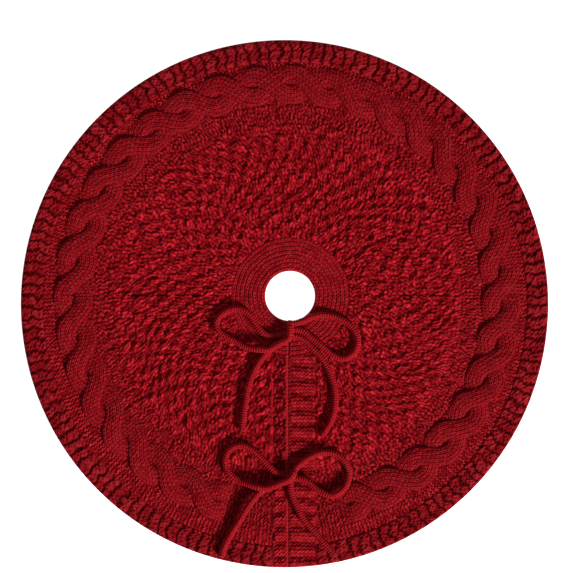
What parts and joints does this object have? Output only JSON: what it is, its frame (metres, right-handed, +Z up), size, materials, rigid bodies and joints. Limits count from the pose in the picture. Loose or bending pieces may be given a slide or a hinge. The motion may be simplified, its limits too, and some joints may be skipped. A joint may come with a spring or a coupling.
{
  "type": "tree skirt",
  "caption": "Round flat knitted tree skirt with a rope cable ring, a trunk hole and a front slit closed by tied cord bows; the front folds up over the back.",
  "frame": {"origin": "centre of the outer circle, on the surface that the skirt lies on", "axes": "+Z up through the fabric, +Y to the back, -Y along the slit to the front edge, +X to the right seen from above"},
  "size_m": [1.2186, 1.2192, 0.0356],
  "materials": {
    "collar_yarn": "chunky red acrylic yarn, stockinette rings round the trunk hole",
    "moss_yarn": "chunky red acrylic yarn, double moss stitch",
    "purl_yarn": "chunky red acrylic yarn, reverse stockinette gutter",
    "cable_yarn": "chunky red acrylic yarn, two-strand rope cable",
    "border_yarn": "chunky red acrylic yarn, ribbed garter border",
    "facing_yarn": "chunky red acrylic yarn, ridged facing beside the slit",
    "cord_yarn": "red acrylic yarn, round knitted cord",
    "sewing_yarn": "red acrylic yarn, whip stitches"
  },
  "bodies": {
    "rear_half": {"rear_collar": "collar_yarn", "rear_moss_field": "moss_yarn", "rear_inner_gutter": "purl_yarn", "rear_cable_band": "cable_yarn", "rear_outer_gutter": "purl_yarn", "rear_border": "border_yarn"},
    "left_front_flap": {"left_collar": "collar_yarn", "left_moss_field": "moss_yarn", "left_inner_gutter": "purl_yarn", "left_cable_band": "cable_yarn", "left_outer_gutter": "purl_yarn", "left_border": "border_yarn", "left_facing": "facing_yarn", "upper_left_loop": "cord_yarn", "upper_left_tail": "cord_yarn", "upper_left_tack": "sewing_yarn", "lower_left_loop": "cord_yarn", "lower_left_tail": "cord_yarn", "lower_left_tack": "sewing_yarn"},
    "right_front_flap": {"right_collar": "collar_yarn", "right_moss_field": "moss_yarn", "right_inner_gutter": "purl_yarn", "right_cable_band": "cable_yarn", "right_outer_gutter": "purl_yarn", "right_border": "border_yarn", "right_facing": "facing_yarn", "upper_right_loop": "cord_yarn", "upper_right_tail": "cord_yarn", "upper_right_tack": "sewing_yarn", "upper_bow_knot": "cord_yarn", "lower_right_loop": "cord_yarn", "lower_right_tail": "cord_yarn", "lower_right_tack": "sewing_yarn", "lower_bow_knot": "cord_yarn"}
  },
  "joints": [
    {"name": "left_front_fold", "type": "hinge", "parent": "rear_half", "child": "left_front_flap", "pos_m": [0, 0.0179, 0.0145], "axis": [-1, 0, 0], "range_deg": [0, 160]},
    {"name": "right_front_fold", "type": "hinge", "parent": "rear_half", "child": "right_front_flap", "pos_m": [0, 0.0179, 0.0145], "axis": [-1, 0, 0], "range_deg": [0, 160]}
  ],
  "couplings": [
    {"joint": "right_front_fold", "follows": "left_front_fold", "ratio": 1}
  ]
}
